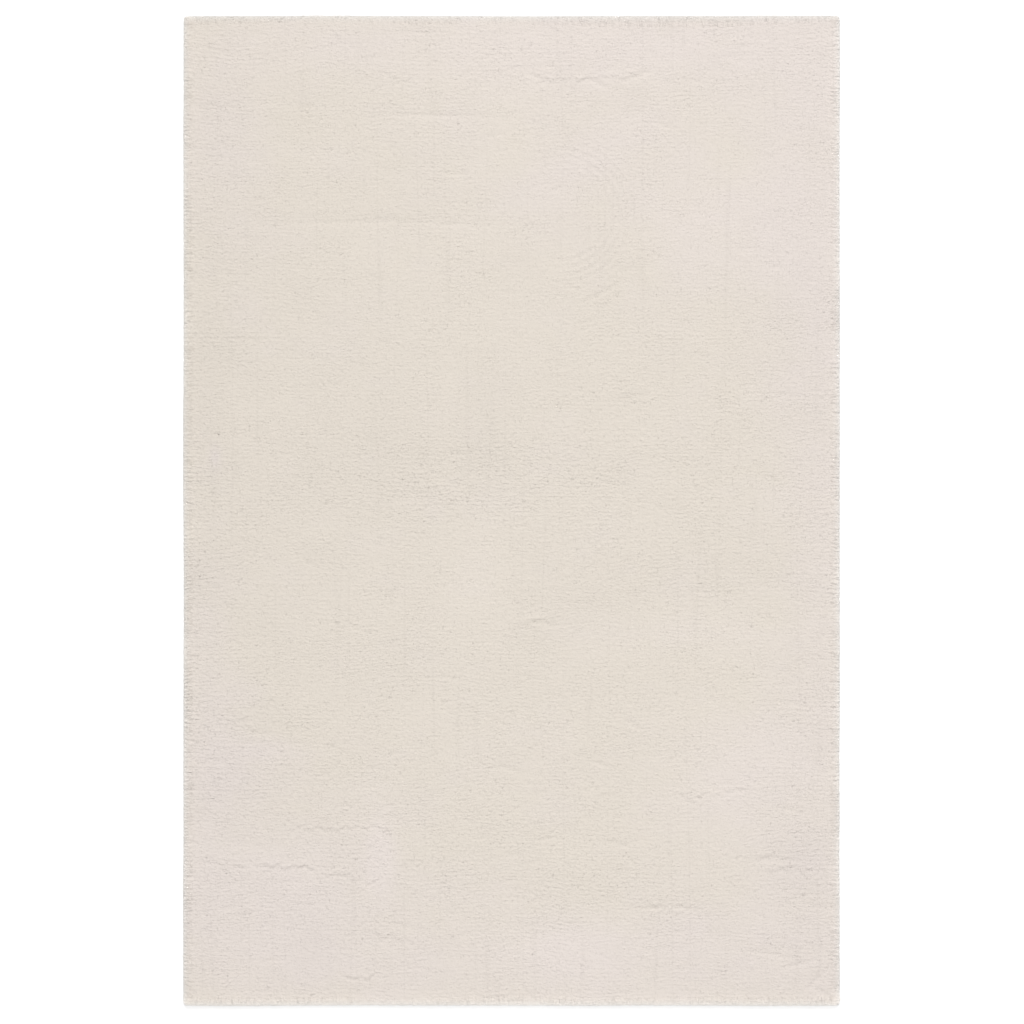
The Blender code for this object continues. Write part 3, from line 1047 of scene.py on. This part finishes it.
chance = np.random.default_rng(LOCK_SEED)
locks_a_row = round(2 * U_END / LOCK_PITCH)
pitch = 2 * U_END / locks_a_row
number, row = np.meshgrid(np.arange(locks_a_row), np.arange(ROWS))
count = number.size
crest_u = (number + 0.5 - locks_a_row / 2).ravel() * pitch + chance.uniform(-0.5, 0.5, count) * pitch
crest_s = (-V_END + row * ROW).ravel() + chance.normal(0, ROW_STRAY, count)
turn = layered(crest_u, crest_s, NAP_LAYERS) + chance.normal(0, NAP_STRAY, count)
toward = [np.sin(turn), -np.cos(turn)]
for axis, (fall, crest, end) in enumerate(zip(FALLS, (crest_u, crest_s), (U_END, V_END))):
    outward = np.clip(1 - (end - np.abs(crest)) / fall["start"], 0, 1) ** fall["bend"]
    toward[axis] = toward[axis] + np.sign(crest) * fall["pull"] * outward
toward_u, toward_s = toward / np.hypot(*toward)
print(f"{count} fine locks, {locks_a_row} to a row")

# %% Lay the fine locks, in four pieces
FINE_PIECES = 4
FINE_KIND = {"long": 0.10, "wide": 0.15, "least": 0, "most": 0.00015, "jitter": 0.00008}
FINE_OWN_SHARE = 0.10
TIP_OVER = 0.0005  # how far a tip reaches past the crest of its row
FINE_TIPS = {
    "crest_u": crest_u, "crest_s": crest_s, "toward_u": toward_u, "toward_s": toward_s,
    "u": crest_u + toward_u * TIP_OVER, "s": crest_s + toward_s * TIP_OVER,
    **vary(chance, count, FINE_KIND),
}
for part in range(FINE_PIECES):
    chosen = (row.ravel() * FINE_PIECES // ROWS) == part
    tips = {key: values[chosen] for key, values in FINE_TIPS.items()}
    pile_pieces.append(lay_locks(f"locks_{part + 1}", fine_lock, tips, FINE_OWN_SHARE))
print(f"they have {count * len(fine_lock[1])} triangles")

# %% [markdown]
# ## Locks at the rim
#
# All round the rug the outermost locks have nothing to lean on and fall outwards over the edge. They
# are longer, gather in small bunches, and fan out at the corners. Three tiers of them, one over the
# other, roll the pile down to the floor: the lowest tips rest on it, just inside the frame's outline.

# %% Where the tips of one tier are
RIM_PITCH = 0.0028
# How far up from the foot the tips are, how much that varies, and how far they stand out.
RIM_TIERS = table("up stray least most", (
    (0.0000, 0.0003, 0.0003, 0.0007),
    (0.0042, 0.0010, 0.0006, 0.0013),
    (0.0100, 0.0016, 0.0005, 0.0011),
))
BUNCH = 0.0146  # how wide a bunch of rim locks is
BUNCH_LAYERS = ((2, 0.05, 1, 61),)  # the bunches are uneven along a side
RIM_LEAN = 0.30
RIM_LEAN_STRAY = 0.15
RIM_PITCH_STRAY = 0.4
CORNER_FAN = 0.7  # how far the locks turn towards a corner, over the last CORNER_REACH of a side
CORNER_REACH = 0.030
RIM_KIND = {"long": 0.12, "wide": 0.18, "jitter": 0.0001}


def rim_tips(chance, tier):
    """The places and directions of one tier of locks, along all four sides."""
    parts = []
    for half, end, side_first in ((V_END, U_END, True), (U_END, V_END, False)):
        locks = round(2 * half / RIM_PITCH)
        for sign in (-1, 1):
            run = (np.arange(locks) + 0.5 - locks / 2) * 2 * half / locks
            run = run + chance.uniform(-RIM_PITCH_STRAY, RIM_PITCH_STRAY, locks) * RIM_PITCH
            back = tier["up"] + np.abs(chance.normal(0, tier["stray"], locks))
            bunch = 2 * math.pi * run / BUNCH + layered(run, 0 * run, BUNCH_LAYERS)
            lean = RIM_LEAN * np.sin(bunch) + chance.normal(0, RIM_LEAN_STRAY, locks)
            to_corner = np.clip((np.abs(run) - half) / CORNER_REACH + 1, 0, 1)
            lean = lean + CORNER_FAN * np.sign(run) * to_corner
            out, beside = sign * np.cos(lean), np.sin(lean)
            edge = sign * (end - back)
            places = (edge, run, out, beside) if side_first else (run, edge, beside, out)
            parts.append(np.stack(places))
    u, s, toward_u, toward_s = np.concatenate(parts, axis=1)
    places = {"crest_u": u, "crest_s": s, "u": u, "s": s, "toward_u": toward_u, "toward_s": toward_s}
    return {**places, **vary(chance, len(u), {**RIM_KIND, **tier})}


# %% Lay the rim locks, in three tiers
RIM_OWN_SHARE = 0.15
RIM_SEED = 9
rim_chance = np.random.default_rng(RIM_SEED)
tiers = [rim_tips(rim_chance, tier) for tier in RIM_TIERS]
RIM_TIPS = {key: np.concatenate([tier[key] for tier in tiers]) for key in tiers[0]}
pile_pieces.append(lay_locks("rim_locks", rim_lock, RIM_TIPS, RIM_OWN_SHARE))
print(f"{len(RIM_TIPS['u'])} rim locks, {len(pile_pieces[-1].data.polygons)} triangles")

# %% [markdown]
# ## Two effects that both materials use
#
# Pile and ground cloth are made of the same fibre. Both are mottled by it, and both have its fine
# relief, so each effect is a node group, built once: `soft_mottle` gives a value around one to multiply
# a colour by. `fibre_relief` gives a bumpy normal: lumps the size of one tuft, finer than the mesh
# can hold, and over them streaks on a coordinate that runs along the fibres.

# %% Helpers for groups and textures
def new_group(name, inputs, outputs):
    """A shader node group with named sockets: its tree, what it is given, and its result."""
    group = bpy.data.node_groups.new(name, "ShaderNodeTree")
    for socket, kind, value in inputs:
        made = group.interface.new_socket(name=socket, in_out="INPUT", socket_type="NodeSocket" + kind)
        if value is not None:
            made.default_value = value
    for socket, kind in outputs:
        group.interface.new_socket(name=socket, in_out="OUTPUT", socket_type="NodeSocket" + kind)
    return group, group.nodes.new("NodeGroupInput").outputs, group.nodes.new("NodeGroupOutput")


def math_node(tree, operation, first, second=0.0):
    """A math node's result."""
    return add_node(tree, "Math", {0: first, 1: second}, operation=operation).outputs["Value"]


def noise_value(tree, position, scale, detail):
    """A noise texture's value at a position."""
    inputs = {"Vector": position, "Scale": scale, "Detail": detail}
    return add_node(tree, "TexNoise", inputs).outputs["Fac"]


def stretched_noise(tree, position, fineness, detail):
    """A noise stretched by its fineness along each axis."""
    stretch = add_node(tree, "VectorMath", {0: position, 1: fineness}, operation="MULTIPLY")
    return noise_value(tree, stretch.outputs["Vector"], 1.0, detail)


def bumped(tree, position, fineness, height, below):
    """A relief of stretched noise, of a given height, over the one below."""
    grain = stretched_noise(tree, position, fineness, 1.0)
    return add_node(tree, "Bump", {"Height": grain, "Distance": height, **below}).outputs["Normal"]


# %% The two groups
mottle, given, result = new_group(
    "soft_mottle",
    [("Position", "Vector", None), ("Scale", "Float", 14.0), ("Amount", "Float", 0.03)],
    [("Factor", "Float")],
)
cloud = noise_value(mottle, given["Position"], given["Scale"], 3.0)
centred = math_node(mottle, "SUBTRACT", cloud, 0.5)
scaled = math_node(mottle, "MULTIPLY", centred, given["Amount"])
feed(mottle, result, {"Factor": math_node(mottle, "ADD", scaled, 1.0)})

relief, given, result = new_group(
    "fibre_relief",
    [("Position", "Vector", None), ("Tufts", "Vector", None), ("Tuft Height", "Float", 0.001),
     ("Nap", "Vector", None), ("Fibres", "Vector", None), ("Fibre Height", "Float", 0.0001)],
    [("Normal", "Vector")],
)
tufted = bumped(relief, given["Position"], given["Tufts"], given["Tuft Height"], {})
streaked = bumped(relief, given["Nap"], given["Fibres"], given["Fibre Height"], {"Normal": tufted})
feed(relief, result, {"Normal": streaked})
print("node groups:", mottle.name, "and", relief.name)

# %% [markdown]
# ## The cream pile
#
# Cream, with a rosier white where the masks say so, painted lighter at the rim for the light that shines
# through it, with painted shade down between the locks and painted light at their tips. Pile has no gloss;
# what it has is sheen, the soft bright edge of fine fibres seen against the light, which shows when the
# rug is seen at a low angle.
#
# Thin lines of painted shade run along the rug in places, the shadow down among the roots where the tufts
# stand a little apart. They are finer than the grid can hold, so the material draws them, wherever a noise
# stretched along the rug passes through its middle value, and a second noise lets them fade in and out.

# %% Colours and measures of the pile's material
CREAM = (0.652, 0.5985, 0.534, 1)
ROSE_WHITE = (0.661, 0.6015, 0.563, 1)
# Painted light on the rim: the outermost locks are painted near white.
PAINTED_RIM_LIGHT = (0.800, 0.780, 0.748, 1)
RIM_PAINTED_LIGHT_SHARE = 0.80
# Painted shade at the roots, down between the locks, and painted light at the tips.
ROOT_PAINTED_SHADE = 0.98
TIP_PAINTED_LIGHT = 1.01
TUFT_FINENESS = (155.0, 290.0, 150.0)  # lumps to a metre
TUFT_HEIGHT = 0.00145
FIBRE_FINENESS = (1300.0, 110.0, 1.0)  # fibres to a metre across the nap, and along it
FIBRE_HEIGHT = 0.0003
PARTING_FINENESS = (46.0, 1.2, 1.0)  # long along the rug and narrow across it
PARTING_FADE = (60.0, 3.0, 1.0)
PARTING_CONTRAST = 6.0  # how quickly a line fades in and out
PARTING_WIDTH = 0.05
PARTING_SHADE = 0.035
print(f"at the foot of the rim {RIM_PAINTED_LIGHT_SHARE:.0%} of the colour is the pale one")

# %% Helpers for materials
def group_node(tree, group, inputs):
    """A group placed in a material, with its own values."""
    node = tree.nodes.new("ShaderNodeGroup")
    node.node_tree = group
    feed(tree, node, inputs)
    return node


def mix_colours(tree, share, first, second):
    """Goes from the first colour to the second."""
    inputs = {0: share, 6: first, 7: second}  # the sockets that a mix of colours uses
    return add_node(tree, "Mix", inputs, data_type="RGBA").outputs[2]


def times(tree, colour, value):
    """A colour made lighter or darker by a value around one."""
    return add_node(tree, "VectorMath", {0: colour, "Scale": value}, operation="SCALE").outputs["Vector"]


def mask_output(tree, name, output):
    """Reads one of the masks stored on the points."""
    return add_node(tree, "Attribute", {}, attribute_name=name).outputs[output]


def centred_noise(tree, position, fineness, detail):
    """A stretched noise, less its middle value."""
    return math_node(tree, "SUBTRACT", stretched_noise(tree, position, fineness, detail), 0.5)


def parting_shade(tree, position):
    """One, and a little less on the thin lines along the rug where the pile is parted: painted shade among
    the roots.
    """
    from_middle = math_node(tree, "ABSOLUTE", centred_noise(tree, position, PARTING_FINENESS, 0.0))
    from_middle = math_node(tree, "DIVIDE", from_middle, PARTING_WIDTH)
    line = math_node(tree, "MAXIMUM", math_node(tree, "SUBTRACT", 1.0, from_middle), 0.0)
    fade = centred_noise(tree, position, PARTING_FADE, 1.0)
    fade = math_node(tree, "MULTIPLY", fade, PARTING_CONTRAST)
    fade = math_node(tree, "MINIMUM", math_node(tree, "MAXIMUM", fade, 0.0), 1.0)
    shade = math_node(tree, "MULTIPLY", math_node(tree, "MULTIPLY", line, fade), PARTING_SHADE)
    return math_node(tree, "SUBTRACT", 1.0, shade)


# %% Put the pile's material together
pile_cream, tree = new_material("pile_cream", {
    "Roughness": 0.95, "Specular IOR Level": 0.1,
    "Sheen Weight": 0.12, "Sheen Roughness": 0.45, "Sheen Tint": (1.0, 0.97, 0.93, 1),
})
position = add_node(tree, "TexCoord", {}).outputs["Object"]
masks = add_node(tree, "SeparateXYZ", {"Vector": mask_output(tree, "tone", "Vector")}).outputs
# Mixed in: the rosier white, and near the rim its painted light.
body = mix_colours(tree, masks["Y"], CREAM, ROSE_WHITE)
body = mix_colours(tree, math_node(tree, "MULTIPLY", masks["Z"], RIM_PAINTED_LIGHT_SHARE), body, PAINTED_RIM_LIGHT)
painted_depth_shade = add_node(tree, "MapRange", {
    "Value": mask_output(tree, "depth", "Fac"), "To Min": ROOT_PAINTED_SHADE, "To Max": TIP_PAINTED_LIGHT,
})
clouds = group_node(tree, mottle, {"Position": position, "Scale": 60.0, "Amount": 0.02})
# Painted light and shade on the colour: the light mask, darker roots and lighter tips, and darker
# partings; the clouds are the fibre's own mottle.
shades = (
    math_node(tree, "ADD", masks["X"], 1.0), painted_depth_shade.outputs["Result"],
    clouds.outputs["Factor"], parting_shade(tree, position),
)
for shade in shades:
    body = times(tree, body, shade)
fibres = group_node(tree, relief, {
    "Position": position, "Tufts": TUFT_FINENESS,
    "Tuft Height": math_node(tree, "MULTIPLY", mask_output(tree, "ruffle", "Fac"), TUFT_HEIGHT),
    "Nap": mask_output(tree, "nap", "Vector"), "Fibres": FIBRE_FINENESS, "Fibre Height": FIBRE_HEIGHT,
})
feed(tree, tree.nodes["Principled BSDF"], {"Base Color": body, "Normal": fibres.outputs["Normal"]})
print("the pile's material has", len(tree.nodes), "nodes")

# %% [markdown]
# ## The woven ground
#
# A plain weave: over one, under one. Two waves at right angles, the sine of one times the sine of the
# other, raise a thread wherever it passes over, and the same product paints shade where a thread dips
# under.

# %% Material of the ground cloth
# The darker colour is painted shade where a thread dips under the next.
GROUND_PAINTED_SHADE = (0.56, 0.51, 0.44, 1)
GROUND_LIGHT = (0.70, 0.65, 0.57, 1)
THREADS_PER_METRE = 420.0


def wave_along(tree, position, axis):
    """A sine along one axis, with a full wave to every two threads."""
    parts = add_node(tree, "SeparateXYZ", {"Vector": position})
    angle = math_node(tree, "MULTIPLY", parts.outputs[axis], math.pi * THREADS_PER_METRE)
    return math_node(tree, "SINE", angle)


woven_ground, tree = new_material(
    "woven_ground_cloth", {"Roughness": 0.9, "Specular IOR Level": 0.15},
)
position = add_node(tree, "TexCoord", {}).outputs["Object"]
weave = math_node(tree, "MULTIPLY", wave_along(tree, position, "X"), wave_along(tree, position, "Y"))
share = math_node(tree, "MULTIPLY", math_node(tree, "ADD", weave, 1.0), 0.5)
body = mix_colours(tree, share, GROUND_PAINTED_SHADE, GROUND_LIGHT)
clouds = group_node(tree, mottle, {"Position": position, "Scale": 25.0, "Amount": 0.12})
yarn = group_node(tree, relief, {
    "Position": position, "Tufts": (90.0, 90.0, 90.0), "Tuft Height": 0.0004,
    "Nap": position, "Fibres": (2000.0, 2000.0, 500.0), "Fibre Height": 0.0001,
})
threads = add_node(tree, "Bump", {
    "Strength": 0.6, "Distance": 0.0006, "Height": share, "Normal": yarn.outputs["Normal"],
})
feed(tree, tree.nodes["Principled BSDF"], {
    "Base Color": times(tree, body, clouds.outputs["Factor"]), "Normal": threads.outputs["Normal"],
})
print("the ground's weave has", int(THREADS_PER_METRE), "threads to the metre")

# %% [markdown]
# ## Fit everything to the frame
#
# All the pieces ride on the rug's one body and stand for its one solid.

# %% Ride, replace and put on the materials
for piece in (cloth, *pile_pieces):
    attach(piece, "root")
    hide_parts("shag_rug")
for piece in pile_pieces:
    piece.data.materials.append(pile_cream)
cloth.data.materials.append(woven_ground)

triangles = sum(len(face.vertices) - 2 for piece in (cloth, *pile_pieces) for face in piece.data.polygons)
print(f"{triangles} triangles in all")
